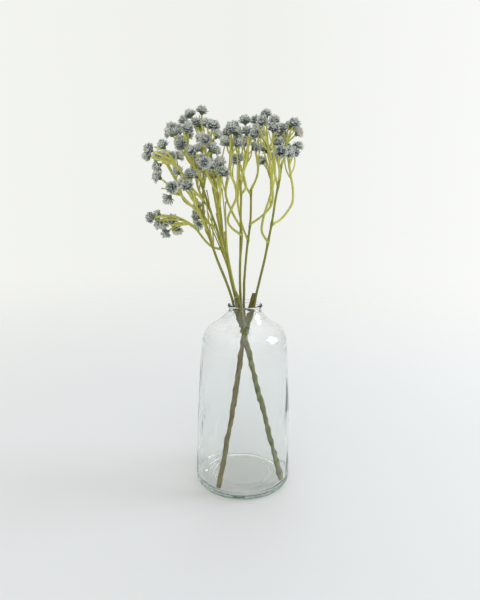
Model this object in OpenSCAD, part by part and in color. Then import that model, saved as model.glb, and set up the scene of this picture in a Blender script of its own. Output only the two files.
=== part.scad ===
// Glass bud vase with two lift-out sprays of faux gypsophila.
// Origin: middle of the resting ring, on the surface that the vase stands on. +Z is up.

/* [Vase] */
// Height of the vase
vase_h = 180; // [178:0.5:182]
// Outer radius of the body just above the base
body_r = 45.7; // [45.5:0.1:46.2]
// Outer radius of the body under the shoulder
shoulder_r = 40.1; // [39.8:0.1:40.6]
// Outer radius of the lip
lip_r = 16.1; // [15.8:0.1:16.6]
// Thickness of the glass wall
wall_t = 2.2; // [1.8:0.1:2.3]
// Height of the pushed-up middle of the underside
punt_h = 5; // [3:0.5:6]

/* [Stems] */
// Diameter of the steel wire in a main stem
wire_d = 1.8; // [1.4:0.1:2]
// Diameter of the moulded cover on a main stem
stem_d = 4.9; // [4.6:0.1:5]
// How far the knuckles of a main stem stand out
knuckle_h = 0.2; // [0.1:0.05:0.25]
// Outer diameter of the tape binding where the stalks leave a main stem
binding_d = 6; // [5.8:0.1:6.2]
// Length of the tape binding
binding_l = 9; // [6:0.5:10]

/* [Stalks and twigs] */
// Diameter of a stalk
stalk_d = 2.4; // [2.2:0.1:2.4]
// Diameter of a twig
twig_d = 1.6; // [1.4:0.1:1.6]
// Diameter of the last short twig that holds one bloom
pedicel_d = 1.1; // [0.9:0.1:1.1]

/* [Blooms] */
// Diameter of one bloom
bloom_d = 8.2; // [7.4:0.1:8.4]
// Height of one bloom above its cup
bloom_h = 5.8; // [5:0.1:6]
// Height of the cup under a bloom
cup_h = 2.4; // [2:0.1:2.6]

/* [Hidden] */
// Corners of the resting ring, its fillet and the groove inside
foot_r = 37.5;
base_fillet = 6;
groove_fillet = 5.5;
groove_z = 5;
body_low_z = 6;
body_top_z = 141;
throat_r = 14.2;
arc_steps = 6;

stem_sides = 10;
stalk_sides = 8;
twig_sides = 6;
steps_per_point = 2;

// Each main stem runs from the groove in the vase's floor, out through the mouth.
left_stem_route = [
    [36.7, -16.7, 7], [31, -15.4, 30], [25.2, -14, 53], [19.2, -12.6, 76], [13.2, -11.2, 99],
    [7.2, -9.8, 122], [1.4, -8.5, 145], [-3, -7.4, 164], [-6.6, -6.5, 180], [-8, -6.1, 188]];
right_stem_route = [
    [-22.5, -32.5, 7], [-18.6, -27.8, 29], [-14.9, -22.9, 51], [-11.3, -18.1, 73], [-8.1, -13.2, 95],
    [-5.3, -8.6, 116], [-2.6, -3.9, 137], [0.6, 0, 155], [4.6, 3.3, 170], [8.8, 7.3, 188]];

// Stalks, from where they leave the main stem to their tops.
left_outer = [
    [-2.9, -6.1, 160], [-6.8, -4.6, 168], [-9.9, -3.4, 178], [-13.2, -5.2, 190], [-18, -10, 205],
    [-25, -12, 223], [-31, -14, 241], [-35, -15, 252], [-37, -16, 268], [-37, -15, 284],
    [-37, -14, 301], [-38, -10, 319]];
left_back = [
    [0.3, -6.1, 160], [-3.1, -3, 167], [-7.2, -1.4, 177], [-9.5, -1.4, 188], [-13, -1, 202],
    [-17, 3, 218], [-21, 6, 229], [-26, 10, 246], [-33, 14, 264], [-39, 19, 281],
    [-46, 24, 298], [-53, 27, 315]];
left_front = [
    [-1, -9.6, 160], [-1.7, -9.9, 168], [-3.2, -9.6, 177], [-6.2, -10, 188], [-11, -11, 200],
    [-15, -15, 217], [-17, -19, 232], [-20, -22, 247], [-22, -26, 267], [-25, -29, 285],
    [-29, -30, 306], [-30, -28, 318]];
right_front = [
    [-1.4, 0.7, 157], [-2.8, 2.4, 168], [-3.8, 2.6, 178], [-4.4, 1, 188], [-5, -3, 203],
    [-5, -9, 223], [-4, -13, 242], [-5, -16, 260], [-5, -20, 282], [-6, -22, 294]];
right_back = [
    [0.9, 2.6, 157], [-0.6, 5.2, 168], [-1.2, 6.6, 178], [-1, 7.6, 188], [-1, 9, 200],
    [1, 15, 227], [4, 20, 254], [4, 24, 281]];
right_outer = [
    [3, 0.2, 157], [6.6, 0.2, 168], [8.6, 1.6, 178], [10.2, 3, 188], [13, 4, 201],
    [17, 2, 221], [20, 0, 239], [23, -2, 258], [25, -4, 276], [28, -4, 293], [29, -6, 305]];

// Each row is a twig's route to its fork, then the blooms that it carries:
// [middle of the ring of blooms, ring radius, count, turn, how far every other bloom stands out].
left_outer_twigs = [
    [[[-36, -16, 257], [-43, -20, 268], [-51, -26, 277], [-58, -31, 287]], [[-69, -34, 288], 11, 3, 100, -5]],
    [[[-36, -16, 266], [-47, -10, 270], [-55, -4, 275], [-60, 2, 288], [-69, 8, 303]],
        [[-69, 8, 312], 11, 4, 20, 0]],
    [[[-37, -16, 276], [-46, -24, 287], [-55, -32, 302], [-62, -36, 311]], [[-76, -38, 315], 10, 4, 20, -5]],
    [[[-37, -16, 280], [-46, -12, 281], [-52, -6, 287]], [[-52, 0, 296], 9, 4, 20, 3]],
    [[[-37, -15, 291], [-43, -18, 301], [-50, -24, 316]], [[-54, -27, 330], 9, 5, 220, 5]],
    [[[-38, -10, 319], [-39, -9, 328]], [[-43, -4, 344], 6, 4, 80, -5]],
    [[[-34, -15, 250], [-38, -21, 261], [-42, -27, 272], [-45, -32, 280]], [[-50, -37, 296], 6, 3, 90, -3]]];
left_back_twigs = [
    [[[-21, 6, 229], [-30, 7, 231], [-37, 7, 237], [-46, 5, 249], [-54, 2, 255], [-62, 0, 259], [-68, -2, 260]],
        [[-82, -4, 257], 6, 3, 0, -3]],
    [[[-46, 5, 249], [-54, 10, 252], [-61, 13, 251]], [[-70, 13, 248], 8, 4, 60, 5]],
    [[[-33, 14, 264], [-40, 21, 273], [-45, 27, 284], [-46, 30, 291]], [[-43, 39, 305], 8, 5, 300, -3]],
    [[[-53, 27, 315], [-57, 28, 322]], [[-61, 33, 334], 8, 5, 0, 5]],
    [[[-27, 10, 249], [-34, 16, 251], [-38, 20, 254]], [[-47, 24, 258], 10, 3, 100, -5]],
    [[[-39, 20, 283], [-37, 28, 296], [-37, 33, 308]], [[-35, 32, 320], 9, 4, 200, -3]],
    [[[-19, 5, 223], [-22, 9, 238], [-24, 12, 252], [-26, 13, 266], [-28, 16, 280]],
        [[-29, 20, 299], 6, 3, 40, -3]]];
left_front_twigs = [
    [[[-30, -28, 318], [-30, -28, 322]], [[-32, -31, 334], 8, 5, 60, -5]],
    [[[-25, -29, 285], [-31, -33, 296], [-35, -36, 307]], [[-36, -37, 315], 9, 4, 100, -5]],
    [[[-23, -27, 272], [-22, -31, 284], [-22, -32, 293]], [[-23, -36, 306], 5, 3, 20, 3]]];
right_front_twigs = [
    [[[-4, -14, 246], [-13, -16, 253], [-16, -17, 260], [-13, -18, 269], [-9, -19, 279], [-10, -20, 289],
        [-14, -22, 300], [-14, -23, 314]], [[-12, -20, 330], 6, 4, 160, -5]],
    [[[-4, -15, 252], [-9, -10, 259], [-14, -6, 268], [-18, -3, 278], [-18, 0, 288], [-16, 2, 298],
        [-14, 4, 314]], [[-13, 6, 335], 5, 4, 200, -3]],
    [[[-6, -22, 294], [-2, -21, 305], [0, -18, 319]], [[2, -14, 338], 6, 4, 240, -5]],
    [[[-5, -20, 282], [-1, -14, 287], [-3, -9, 296], [-5, -7, 302]], [[-9, -6, 311], 5, 2, 100, 0]]];
right_back_twigs = [
    [[[2, 17, 236], [-3, 20, 247], [-6, 24, 259], [-8, 28, 271], [-7, 31, 285], [-7, 33, 302]],
        [[-10, 38, 325], 9, 4, 100, 0]],
    [[[4, 24, 277], [-1, 21, 285], [-3, 19, 296], [-2, 17, 310]], [[3, 17, 327], 7, 3, 160, -5]],
    [[[4, 24, 281], [9, 26, 292], [10, 27, 302], [7, 28, 318]], [[10, 29, 337], 5, 4, 120, -5]],
    [[[3, 19, 250], [11, 21, 255], [18, 22, 261], [23, 23, 268], [24, 24, 278], [22, 26, 293]],
        [[17, 34, 314], 6, 4, 160, -5]]];
right_outer_twigs = [
    [[[20, 0, 237], [14, -4, 247], [14, -9, 257], [16, -14, 267], [19, -18, 278], [21, -21, 289], [19, -24, 304],
        [17, -25, 318]], [[11, -32, 340], 9, 5, 20, -5]],
    [[[23, -2, 254], [30, 4, 257], [36, 8, 263], [41, 10, 272], [41, 11, 284], [39, 11, 294], [37, 11, 304]],
        [[38, 9, 320], 7, 4, 200, 2]],
    [[[29, -6, 305], [32, -10, 314], [32, -12, 323]], [[35, -10, 338], 9, 5, 36, -3]],
    [[[27, -4, 287], [24, 2, 299], [23, 8, 316]], [[28, 12, 336], 9, 5, 40, 5]],
    [[[28, -4, 294], [27, -12, 303], [25, -18, 310]], [[29, -25, 320], 7, 3, 80, 2]]];

// ---- Curves and tubes ----

function unit(v) = v / norm(v);

// A point on the smooth curve through b and c, with a and d as their neighbours
function curve_point(a, b, c, d, t) =
    b + t / 2 * ((c - a) + t * ((2 * a - 5 * b + 4 * c - d) + t * (3 * (b - c) + d - a)));

function smooth(p, n = steps_per_point) = let (last = len(p) - 1) concat(
    [for (i = [0:last - 1]) for (j = [0:n - 1])
        curve_point(p[max(i - 1, 0)], p[i], p[i + 1], p[min(i + 2, last)], j / n)],
    [p[last]]);

function direction(p, i) = unit(p[min(i + 1, len(p) - 1)] - p[max(i - 1, 0)]);

function ring(centre, along, r, n) =
    let (u = unit(cross(along, [0, 1, 0])), v = cross(along, u))
    [for (k = [0:n - 1]) centre + r * (cos(360 * k / n) * u + sin(360 * k / n) * v)];

// Side faces between rings of n points, from index base on
function side_faces(rings, n, base = 0, inside = false) = [
    for (i = [0:rings - 2]) for (k = [0:n - 1]) for (half = [0, 1])
        let (a = base + i * n + k, b = base + i * n + (k + 1) % n, c = b + n, d = a + n)
        let (f = half == 0 ? [a, d, c] : [a, c, b])
        inside ? [f[2], f[1], f[0]] : f];

// A solid tube along the points p, with the radii r
module rod(p, r, n) {
    rings = len(p);
    points = [for (i = [0:rings - 1]) each ring(p[i], direction(p, i), r[i], n)];
    low = [for (k = [0:n - 1]) k];
    high = [for (k = [n - 1:-1:0]) (rings - 1) * n + k];
    polyhedron(points, concat([low, high], side_faces(rings, n)), convexity = 6);
}

// A hollow tube along the points p, with the outer radii r and the bore radius b
module sleeve(p, r, b, n) {
    rings = len(p);
    skin = [for (i = [0:rings - 1]) each ring(p[i], direction(p, i), r[i], n)];
    bore = [for (i = [0:rings - 1]) each ring(p[i], direction(p, i), b, n)];
    first = rings * n;
    top = (rings - 1) * n;
    low = [for (k = [0:n - 1]) let (m = (k + 1) % n) each [[k, m, first + m], [k, first + m, first + k]]];
    high = [for (k = [0:n - 1]) let (m = (k + 1) % n)
        each [[top + m, top + k, first + top + k], [top + m, first + top + k, first + top + m]]];
    faces = concat(side_faces(rings, n), side_faces(rings, n, first, true), low, high);
    polyhedron(concat(skin, bore), faces, convexity = 6);
}

module aim(at, along) {
    translate(at) rotate([0, acos(along.z), atan2(along.y, along.x)]) children();
}

function same(r, p) = [for (q = p) r];

// ---- Vase ----

function arc(r, z, radius, from, to) = [
    for (i = [0:arc_steps]) let (a = from + (to - from) * i / arc_steps)
        [r + radius * cos(a), z + radius * sin(a)]];

// Radius of the body at a height: it narrows gently from the base to the shoulder
function body_at(z) = let (t = (z - body_low_z) / (body_top_z - body_low_z))
    body_r - (body_r - shoulder_r) * pow(t, 1.6);

body_steps = [for (t = [0:0.125:1]) body_low_z + t * (body_top_z - body_low_z)];

// The wall's outer line: fillet, body, rounded shoulder, short concave neck and rolled lip
outer_line = concat(
    arc(body_r - base_fillet, base_fillet, base_fillet, -90, 0),
    [for (z = body_steps) [body_at(z), z]],
    [[39.5, 145.5], [38.6, 149.6], [36.8, 153.2], [34, 156.6], [30, 159.8], [25, 163], [21, 166], [18, 169.6]],
    [[15.6, 173.6], [throat_r, 177]],
    arc(lip_r - 1.5, vase_h - 1.5, 1.5, -40, 140));

// The same wall on the inside, down to the groove and the raised floor
inner_line = concat(
    [[throat_r - 1.8, 177], [13.6, 172.4], [16.2, 168.2], [19.4, 164.4], [23.6, 161.2], [28.6, 158]],
    [[32.4, 155], [34.8, 152], [36.4, 148.8], [37.2, 145]],
    [for (i = [len(body_steps) - 1:-1:1]) [body_at(body_steps[i]) - wall_t, body_steps[i]]],
    arc(body_r - wall_t - groove_fillet, groove_z + groove_fillet, groove_fillet, 0, -90),
    [[34, 6.6], [28, 8.2], [15, 9.6], [0, 10]]);

underside = [[0, punt_h], [15, punt_h * 0.92], [28, punt_h * 0.64], [34, punt_h * 0.3], [foot_r, 0]];

module vase() {
    color([0.86, 0.92, 0.9, 0.35])
        rotate_extrude($fn = 96) polygon(concat(underside, outer_line, inner_line));
}

// ---- Sprays ----

stem_colour = "darkolivegreen";
stalk_colour = "olivedrab";
twig_colour = "yellowgreen";
cup_colour = "darkslategray";
bloom_colour = "slategray";

// The steel wire in a main stem
module wire(route) {
    p = smooth(route, 3);
    rod(p, same(wire_d / 2, p), stem_sides);
}

// The moulded cover, with a knuckle at every third ring
module stem(route) {
    p = smooth(route, 3);
    sleeve(p, [for (i = [0:len(p) - 1]) stem_d / 2 + (i % 3 == 1 ? knuckle_h : 0)], wire_d / 2, stem_sides);
}

// The tape that holds the feet of the stalks against the main stem
module binding(route, i) {
    aim(route[i], unit(route[i + 1] - route[i - 1])) difference() {
        cylinder(h = binding_l, d = binding_d, center = true, $fn = 48);
        cylinder(h = binding_l + 1, d = stem_d, center = true, $fn = 48);
    }
}

module stalk(route) {
    p = smooth(route);
    last = len(p) - 1;
    rod(p, [for (i = [0:last]) stalk_d / 2 * (1 - 0.25 * i / last)], stalk_sides);
}

// Bloom i of a row of twigs: its middle, and the way it faces
function fork(row) = row[0][len(row[0]) - 1];
function bloom_at(row, i) =
    let (f = fork(row), c = row[1][0], r = row[1][1], n = row[1][2], turn = row[1][3], out = row[1][4])
    let (d = unit(c - f), u = unit(cross(d, [0, 1, 0])), v = cross(d, u), a = turn + 360 * i / n)
    c + r * (cos(a) * u + sin(a) * v) + (i % 2 == 0 ? out : -out) * d;
function bloom_way(row, i) = unit(bloom_at(row, i) - fork(row));

module twigs(rows) {
    for (row = rows) {
        p = smooth(row[0]);
        rod(p, same(twig_d / 2, p), twig_sides);
        for (i = [0:row[1][2] - 1]) hull() {
            translate(fork(row)) sphere(d = pedicel_d, $fn = 6);
            translate(bloom_at(row, i) - (bloom_h / 2 + cup_h / 2) * bloom_way(row, i))
                sphere(d = pedicel_d, $fn = 6);
        }
    }
}

module cups(rows) {
    for (row = rows) for (i = [0:row[1][2] - 1])
        aim(bloom_at(row, i), bloom_way(row, i)) translate([0, 0, -bloom_h / 2 - cup_h])
            cylinder(h = cup_h, d1 = pedicel_d * 1.6, d2 = bloom_d * 0.5, $fn = 24);
}

module blooms(rows) {
    r = bloom_d / 2;
    h = bloom_h;
    low = [[0, 0], [r * 0.5, 0], [r * 0.95, h * 0.35], [r, h * 0.55]];
    high = [[r * 0.82, h * 0.82], [r * 0.4, h], [0, h]];
    for (row = rows) for (i = [0:row[1][2] - 1])
        aim(bloom_at(row, i), bloom_way(row, i)) translate([0, 0, -h / 2])
            rotate_extrude($fn = 24) polygon(concat(low, high));
}

module left_wire() { color("silver") wire(left_stem_route); }
module left_stem() { color(stem_colour) stem(left_stem_route); }
module left_binding() { color(stem_colour) binding(left_stem_route, 7); }
module left_outer_stalk() { color(stalk_colour) stalk(left_outer); }
module left_back_stalk() { color(stalk_colour) stalk(left_back); }
module left_front_stalk() { color(stalk_colour) stalk(left_front); }
module left_outer_twigs() { color(twig_colour) twigs(left_outer_twigs); }
module left_back_twigs() { color(twig_colour) twigs(left_back_twigs); }
module left_front_twigs() { color(twig_colour) twigs(left_front_twigs); }
module left_outer_cups() { color(cup_colour) cups(left_outer_twigs); }
module left_back_cups() { color(cup_colour) cups(left_back_twigs); }
module left_front_cups() { color(cup_colour) cups(left_front_twigs); }
module left_outer_blooms() { color(bloom_colour) blooms(left_outer_twigs); }
module left_back_blooms() { color(bloom_colour) blooms(left_back_twigs); }
module left_front_blooms() { color(bloom_colour) blooms(left_front_twigs); }

module right_wire() { color("silver") wire(right_stem_route); }
module right_stem() { color(stem_colour) stem(right_stem_route); }
module right_binding() { color(stem_colour) binding(right_stem_route, 7); }
module right_outer_stalk() { color(stalk_colour) stalk(right_outer); }
module right_back_stalk() { color(stalk_colour) stalk(right_back); }
module right_front_stalk() { color(stalk_colour) stalk(right_front); }
module right_outer_twigs() { color(twig_colour) twigs(right_outer_twigs); }
module right_back_twigs() { color(twig_colour) twigs(right_back_twigs); }
module right_front_twigs() { color(twig_colour) twigs(right_front_twigs); }
module right_outer_cups() { color(cup_colour) cups(right_outer_twigs); }
module right_back_cups() { color(cup_colour) cups(right_back_twigs); }
module right_front_cups() { color(cup_colour) cups(right_front_twigs); }
module right_outer_blooms() { color(bloom_colour) blooms(right_outer_twigs); }
module right_back_blooms() { color(bloom_colour) blooms(right_back_twigs); }
module right_front_blooms() { color(bloom_colour) blooms(right_front_twigs); }

vase();
left_wire();
left_stem();
left_binding();
left_outer_stalk();
left_back_stalk();
left_front_stalk();
left_outer_twigs();
left_back_twigs();
left_front_twigs();
left_outer_cups();
left_back_cups();
left_front_cups();
left_outer_blooms();
left_back_blooms();
left_front_blooms();
right_wire();
right_stem();
right_binding();
right_outer_stalk();
right_back_stalk();
right_front_stalk();
right_outer_twigs();
right_back_twigs();
right_front_twigs();
right_outer_cups();
right_back_cups();
right_front_cups();
right_outer_blooms();
right_back_blooms();
right_front_blooms();
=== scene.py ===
"""Looks of a clear glass bud vase that holds two sprays of faux gypsophila.

Routes and sizes are in millimetres, as in the CAD source, and meshes are made in metres.
"""

import math
import random

import bpy
from mathutils import Matrix, Vector, noise

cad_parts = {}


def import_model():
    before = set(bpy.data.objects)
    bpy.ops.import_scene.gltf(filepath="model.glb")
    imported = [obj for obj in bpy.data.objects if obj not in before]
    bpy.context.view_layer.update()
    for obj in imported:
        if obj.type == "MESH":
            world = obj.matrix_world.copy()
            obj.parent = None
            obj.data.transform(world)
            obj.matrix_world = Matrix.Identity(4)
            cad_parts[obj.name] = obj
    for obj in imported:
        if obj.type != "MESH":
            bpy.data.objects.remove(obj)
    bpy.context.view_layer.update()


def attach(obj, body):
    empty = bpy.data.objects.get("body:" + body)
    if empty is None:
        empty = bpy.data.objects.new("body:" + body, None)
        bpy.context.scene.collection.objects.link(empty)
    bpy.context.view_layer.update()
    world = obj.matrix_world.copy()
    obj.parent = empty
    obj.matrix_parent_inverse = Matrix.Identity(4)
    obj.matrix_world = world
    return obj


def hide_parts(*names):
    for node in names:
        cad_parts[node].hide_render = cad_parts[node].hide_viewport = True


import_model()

MM = 0.001
TURN = 2 * math.pi
rng = random.Random(11)
shoot_rng = random.Random(29)
noise.seed_set(11)  # or else noise_vector takes its offsets from the clock, and no two runs agree

# ---- Driving dimensions, as in the CAD source ----

VASE_H = 180
BODY_R = 45.7
BASE_ROUND = 6  # radius of the corner between the base and the body
SHOULDER_Z = 141
SHOULDER_R = 40.1
RESTING_R = 37.5  # the inner edge of the ring that the vase stands on
LIP_R = 16.1
WALL = 2.2
GROOVE_Z = 5  # height of the groove round the floor, the lowest part of the inside
GROOVE_ROUND = 5.5  # radius of the corner between the groove and the wall
FLOOR_H = 10
PUNT_H = 5
WIRE_D = 1.8
STEM_D = 4.9
BINDING_D = 6
BINDING_L = 9
STALK_D = 2.4
TWIG_D = 1.6
PEDICEL_D = 1.1
BLOOM_D = 8.2
BLOOM_H = 5.8
CUP_H = 2.4

# ---- What only the looks have ----

LIP_ROUND = 1.8  # the lip is a little rounder than in the CAD
MOULDED = 1.28  # moulded twigs are a little thicker than their plain rods in the CAD
RISE_FROM, RISE_TO = 175, 305  # the greens go from dark to pale between these heights
THICKER, THICKER_Z, THICKER_SPAN = 1.3, 62, 24  # the wall is thicker round this height
RIPPLED_Z, RIPPLED_SPAN = 58, 26  # the glass is most rippled round this height
TWIG_SHOOTS = {"left": 4, "right": 2}  # bare shoots beside each twig of a spray
STALK_SHOOTS = {"left_front": 4, "left_outer": 4, "left_back": 3, "right_front": 2}
BARK = {
    "left": {"pitch": 11.0, "strands": 2, "depth": 0.34, "seed": 3.0},
    "right": {"pitch": 26.0, "strands": 2, "depth": 0.16, "seed": 12.0},
}
STEM_SWAY = {"left": 3.0, "right": 8.0}  # where each stem's wander starts in the noise
TAPE_REACH = 4.4  # how far the tape may stand off the stem's middle to go round a stalk
RIGHT_DARKER = 0.2  # the right spray's blooms are a little darker

# ---- Routes, as in the CAD source ----

STEMS = {
    "left": [
        (36.7, -16.7, 7), (31, -15.4, 30), (25.2, -14, 53), (19.2, -12.6, 76), (13.2, -11.2, 99),
        (7.2, -9.8, 122), (1.4, -8.5, 145), (-3, -7.4, 164), (-6.6, -6.5, 180), (-8, -6.1, 188)],
    "right": [
        (-22.5, -32.5, 7), (-18.6, -27.8, 29), (-14.9, -22.9, 51), (-11.3, -18.1, 73), (-8.1, -13.2, 95),
        (-5.3, -8.6, 116), (-2.6, -3.9, 137), (0.6, 0, 155), (4.6, 3.3, 170), (8.8, 7.3, 188)],
}
BINDING_AT = 7  # the point of a stem's route that its binding is on

STALKS = {
    "left_outer": [
        (-2.9, -6.1, 160), (-6.8, -4.6, 168), (-9.9, -3.4, 178), (-13.2, -5.2, 190), (-18, -10, 205),
        (-25, -12, 223), (-31, -14, 241), (-35, -15, 252), (-37, -16, 268), (-37, -15, 284),
        (-37, -14, 301), (-38, -10, 319)],
    "left_back": [
        (0.3, -6.1, 160), (-3.1, -3, 167), (-7.2, -1.4, 177), (-9.5, -1.4, 188), (-13, -1, 202),
        (-17, 3, 218), (-21, 6, 229), (-26, 10, 246), (-33, 14, 264), (-39, 19, 281),
        (-46, 24, 298), (-53, 27, 315)],
    "left_front": [
        (-1, -9.6, 160), (-1.7, -9.9, 168), (-3.2, -9.6, 177), (-6.2, -10, 188), (-11, -11, 200),
        (-15, -15, 217), (-17, -19, 232), (-20, -22, 247), (-22, -26, 267), (-25, -29, 285),
        (-29, -30, 306), (-30, -28, 318)],
    "right_front": [
        (-1.4, 0.7, 157), (-2.8, 2.4, 168), (-3.8, 2.6, 178), (-4.4, 1, 188), (-5, -3, 203),
        (-5, -9, 223), (-4, -13, 242), (-5, -16, 260), (-5, -20, 282), (-6, -22, 294)],
    "right_back": [
        (0.9, 2.6, 157), (-0.6, 5.2, 168), (-1.2, 6.6, 178), (-1, 7.6, 188), (-1, 9, 200),
        (1, 15, 227), (4, 20, 254), (4, 24, 281)],
    "right_outer": [
        (3, 0.2, 157), (6.6, 0.2, 168), (8.6, 1.6, 178), (10.2, 3, 188), (13, 4, 201),
        (17, 2, 221), (20, 0, 239), (23, -2, 258), (25, -4, 276), (28, -4, 293), (29, -6, 305)],
}

# Each row is a twig's route to its fork, then the ring of blooms that it carries:
# middle of the ring, its radius, count, turn in degrees, how far every other bloom stands out.
TWIGS = {
    "left_outer": [
        ([(-36, -16, 257), (-43, -20, 268), (-51, -26, 277), (-58, -31, 287)],
         ((-69, -34, 288), 11, 3, 100, -5)),
        ([(-36, -16, 266), (-47, -10, 270), (-55, -4, 275), (-60, 2, 288), (-69, 8, 303)],
         ((-69, 8, 312), 11, 4, 20, 0)),
        ([(-37, -16, 276), (-46, -24, 287), (-55, -32, 302), (-62, -36, 311)],
         ((-76, -38, 315), 10, 4, 20, -5)),
        ([(-37, -16, 280), (-46, -12, 281), (-52, -6, 287)], ((-52, 0, 296), 9, 4, 20, 3)),
        ([(-37, -15, 291), (-43, -18, 301), (-50, -24, 316)], ((-54, -27, 330), 9, 5, 220, 5)),
        ([(-38, -10, 319), (-39, -9, 328)], ((-43, -4, 344), 6, 4, 80, -5)),
        ([(-34, -15, 250), (-38, -21, 261), (-42, -27, 272), (-45, -32, 280)],
         ((-50, -37, 296), 6, 3, 90, -3))],
    "left_back": [
        ([(-21, 6, 229), (-30, 7, 231), (-37, 7, 237), (-46, 5, 249), (-54, 2, 255), (-62, 0, 259),
          (-68, -2, 260)], ((-82, -4, 257), 6, 3, 0, -3)),
        ([(-46, 5, 249), (-54, 10, 252), (-61, 13, 251)], ((-70, 13, 248), 8, 4, 60, 5)),
        ([(-33, 14, 264), (-40, 21, 273), (-45, 27, 284), (-46, 30, 291)], ((-43, 39, 305), 8, 5, 300, -3)),
        ([(-53, 27, 315), (-57, 28, 322)], ((-61, 33, 334), 8, 5, 0, 5)),
        ([(-27, 10, 249), (-34, 16, 251), (-38, 20, 254)], ((-47, 24, 258), 10, 3, 100, -5)),
        ([(-39, 20, 283), (-37, 28, 296), (-37, 33, 308)], ((-35, 32, 320), 9, 4, 200, -3)),
        ([(-19, 5, 223), (-22, 9, 238), (-24, 12, 252), (-26, 13, 266), (-28, 16, 280)],
         ((-29, 20, 299), 6, 3, 40, -3))],
    "left_front": [
        ([(-30, -28, 318), (-30, -28, 322)], ((-32, -31, 334), 8, 5, 60, -5)),
        ([(-25, -29, 285), (-31, -33, 296), (-35, -36, 307)], ((-36, -37, 315), 9, 4, 100, -5)),
        ([(-23, -27, 272), (-22, -31, 284), (-22, -32, 293)], ((-23, -36, 306), 5, 3, 20, 3))],
    "right_front": [
        ([(-4, -14, 246), (-13, -16, 253), (-16, -17, 260), (-13, -18, 269), (-9, -19, 279), (-10, -20, 289),
          (-14, -22, 300), (-14, -23, 314)], ((-12, -20, 330), 6, 4, 160, -5)),
        ([(-4, -15, 252), (-9, -10, 259), (-14, -6, 268), (-18, -3, 278), (-18, 0, 288), (-16, 2, 298),
          (-14, 4, 314)], ((-13, 6, 335), 5, 4, 200, -3)),
        ([(-6, -22, 294), (-2, -21, 305), (0, -18, 319)], ((2, -14, 338), 6, 4, 240, -5)),
        ([(-5, -20, 282), (-1, -14, 287), (-3, -9, 296), (-5, -7, 302)], ((-9, -6, 311), 5, 2, 100, 0))],
    "right_back": [
        ([(2, 17, 236), (-3, 20, 247), (-6, 24, 259), (-8, 28, 271), (-7, 31, 285), (-7, 33, 302)],
         ((-10, 38, 325), 9, 4, 100, 0)),
        ([(4, 24, 277), (-1, 21, 285), (-3, 19, 296), (-2, 17, 310)], ((3, 17, 327), 7, 3, 160, -5)),
        ([(4, 24, 281), (9, 26, 292), (10, 27, 302), (7, 28, 318)], ((10, 29, 337), 5, 4, 120, -5)),
        ([(3, 19, 250), (11, 21, 255), (18, 22, 261), (23, 23, 268), (24, 24, 278), (22, 26, 293)],
         ((17, 34, 314), 6, 4, 160, -5))],
    "right_outer": [
        ([(20, 0, 237), (14, -4, 247), (14, -9, 257), (16, -14, 267), (19, -18, 278), (21, -21, 289),
          (19, -24, 304), (17, -25, 318)], ((11, -32, 340), 9, 5, 20, -5)),
        ([(23, -2, 254), (30, 4, 257), (36, 8, 263), (41, 10, 272), (41, 11, 284), (39, 11, 294),
          (37, 11, 304)], ((38, 9, 320), 7, 4, 200, 2)),
        ([(29, -6, 305), (32, -10, 314), (32, -12, 323)], ((35, -10, 338), 9, 5, 36, -3)),
        ([(27, -4, 287), (24, 2, 299), (23, 8, 316)], ((28, 12, 336), 9, 5, 40, 5)),
        ([(28, -4, 294), (27, -12, 303), (25, -18, 310)], ((29, -25, 320), 7, 3, 80, 2))],
}
BEIGE_RING = (35, -10, 338)  # the rightmost bloom of this ring is beige


# ---- Materials ----

class Nodes:
    """Short calls for building one node tree."""

    def __init__(self, tree):
        self.tree = tree
        self.tree.nodes.clear()

    def node(self, kind, inputs=(), **settings):
        made = self.tree.nodes.new("ShaderNode" + kind)
        for key, value in settings.items():
            setattr(made, key, value)
        for key, value in dict(inputs).items():
            if isinstance(value, bpy.types.NodeSocket):
                self.tree.links.new(value, made.inputs[key])
            else:
                made.inputs[key].default_value = value
        return made

    def parts_of(self, place):
        """The x, y and z of a vector."""
        return self.node("SeparateXYZ", {"Vector": place}).outputs

    def ramp(self, value, stops):
        made = self.node("ValToRGB", {"Fac": value})
        ends = made.color_ramp.elements
        while len(ends) < len(stops):
            ends.new(0.5)
        for end, (at, colour) in zip(ends, stops):
            end.position = at
            end.color = (*colour, 1)
        return made.outputs["Color"]

    def mix(self, share, a, b):
        made = self.node("Mix", data_type="RGBA")
        for socket, value in ((made.inputs[0], share), (made.inputs[6], a), (made.inputs[7], b)):
            if isinstance(value, bpy.types.NodeSocket):
                self.tree.links.new(value, socket)
            else:
                socket.default_value = (*value, 1) if isinstance(value, tuple) else value
        return made.outputs[2]

    def mix_shaders(self, share, a, b):
        return self.node("MixShader", {0: share, 1: a.outputs[0], 2: b.outputs[0]})

    def maths(self, operation, a, b=0.0, clamp=False):
        return self.node("Math", {0: a, 1: b}, operation=operation, use_clamp=clamp).outputs[0]

    def spread(self, value, low, high, to_low=0.0, to_high=1.0, **settings):
        ends = {"Value": value, "From Min": low, "From Max": high, "To Min": to_low, "To Max": to_high}
        return self.node("MapRange", ends, **settings).outputs["Result"]


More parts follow.
